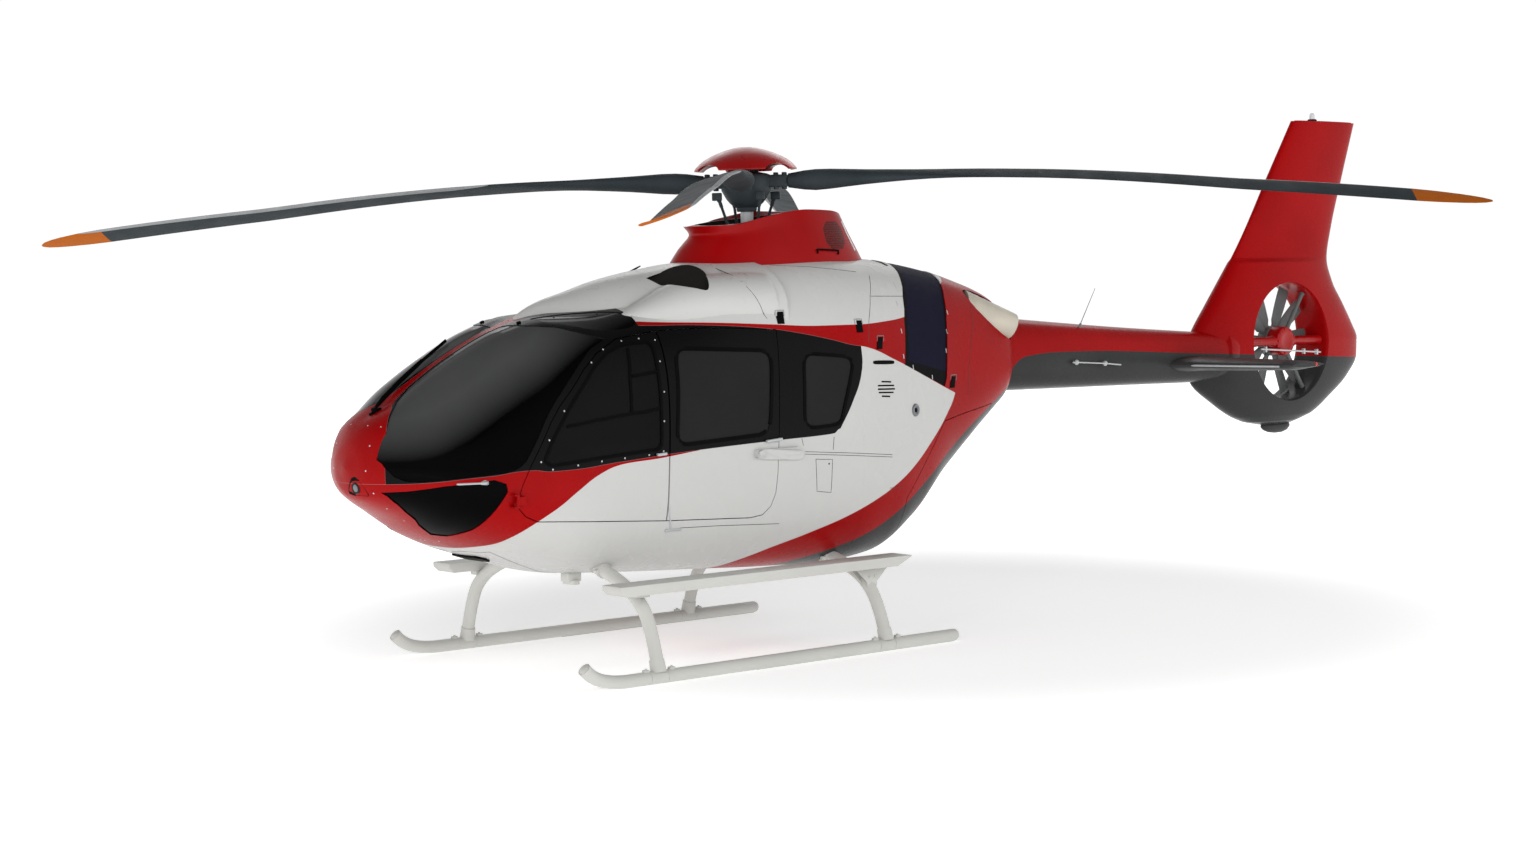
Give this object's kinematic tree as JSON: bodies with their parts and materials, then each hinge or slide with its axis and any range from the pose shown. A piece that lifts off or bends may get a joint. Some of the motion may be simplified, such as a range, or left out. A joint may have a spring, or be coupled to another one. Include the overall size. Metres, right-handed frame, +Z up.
{
  "type": "helicopter",
  "caption": "Light twin-engined helicopter on skids with a four-bladed main rotor, a shrouded tail fan, hinged crew doors and rear clamshell doors.",
  "frame": {"origin": "on the ground, under the middle of the outline's box, which the rotor blades and the tail set", "axes": "+X forward along the fuselage, +Y to the helicopter's left side, +Z up"},
  "size_m": [10.8419, 7.5294, 3.88],
  "materials": {
    "black_trim": "matt",
    "blade_grey": "satin",
    "exhaust_beige": "matt",
    "gear_paint": "satin",
    "grey_paint": "satin",
    "hub_grey": "satin",
    "intake_mesh": "matt",
    "red_paint": "gloss",
    "seat_fabric": "woven",
    "steel": "brushed",
    "tinted_glass": "polished",
    "white_paint": "gloss"
  },
  "bodies": {
    "airframe": {"cabin_ceiling": "black_trim", "cabin_floor": "black_trim", "cabin_shell": "white_paint", "chin_window_left": "tinted_glass", "chin_window_right": "tinted_glass", "cross_tube_front": "gear_paint", "cross_tube_rear": "gear_paint", "engine_cowling": "white_paint", "exhaust_left": "exhaust_beige", "exhaust_right": "exhaust_beige", "fan_gearbox": "red_paint", "front_cowling": "white_paint", "instrument_panel": "black_trim", "intake_screen": "intake_mesh", "mast_fairing": "red_paint", "nose_shell": "red_paint", "pilot_seat_left": "seat_fabric", "pilot_seat_right": "seat_fabric", "powerplant": "steel", "quarter_window_left": "tinted_glass", "quarter_window_right": "tinted_glass", "rear_bench": "seat_fabric", "rear_cowling": "red_paint", "rear_shell": "white_paint", "roof_hood": "white_paint", "roof_window_left": "tinted_glass", "roof_window_right": "tinted_glass", "skid_left": "gear_paint", "skid_right": "gear_paint", "sliding_door_left": "white_paint", "sliding_door_right": "white_paint", "sliding_glass_left": "tinted_glass", "sliding_glass_right": "tinted_glass", "stabiliser_left": "grey_paint", "stabiliser_right": "grey_paint", "step_left": "gear_paint", "step_right": "gear_paint", "tail_boom": "red_paint", "tail_bumper": "grey_paint", "tail_fin": "red_paint", "windscreen_left": "tinted_glass", "windscreen_right": "tinted_glass"},
    "main_rotor": {"rotor_hub": "hub_grey", "rotor_cap": "red_paint", "swashplate": "hub_grey", "rotor_blade_1": "blade_grey", "rotor_blade_2": "blade_grey", "rotor_blade_3": "blade_grey", "rotor_blade_4": "blade_grey"},
    "tail_fan": {"fan_rotor": "hub_grey"},
    "pilot_door_left": {"pilot_door_left": "white_paint", "pilot_glass_left": "tinted_glass"},
    "rear_door_left": {"rear_door_left": "red_paint"},
    "pilot_door_right": {"pilot_door_right": "white_paint", "pilot_glass_right": "tinted_glass"},
    "rear_door_right": {"rear_door_right": "red_paint"}
  },
  "joints": [
    {"name": "main_rotor_turn", "type": "hinge", "parent": "airframe", "child": "main_rotor", "pos_m": [1.6641, 0, 3.28], "axis": [0.0227, 0, 0.9997], "continuous": true},
    {"name": "tail_fan_turn", "type": "hinge", "parent": "airframe", "child": "tail_fan", "pos_m": [-4.3109, 0, 1.98], "axis": [0, 1, 0], "continuous": true},
    {"name": "pilot_door_left_hinge", "type": "hinge", "parent": "airframe", "child": "pilot_door_left", "pos_m": [4.2361, 0.778, 1.2], "axis": [0, 0, -1], "range_deg": [0, 70]},
    {"name": "rear_door_left_hinge", "type": "hinge", "parent": "airframe", "child": "rear_door_left", "pos_m": [0.7641, 0.68, 1], "axis": [0.6598, 0.1053, -0.744], "range_deg": [0, 85]},
    {"name": "pilot_door_right_hinge", "type": "hinge", "parent": "airframe", "child": "pilot_door_right", "pos_m": [4.2361, -0.778, 1.2], "axis": [0, 0, 1], "range_deg": [0, 70]},
    {"name": "rear_door_right_hinge", "type": "hinge", "parent": "airframe", "child": "rear_door_right", "pos_m": [0.7641, -0.68, 1], "axis": [-0.6598, 0.1053, 0.744], "range_deg": [0, 85]}
  ]
}
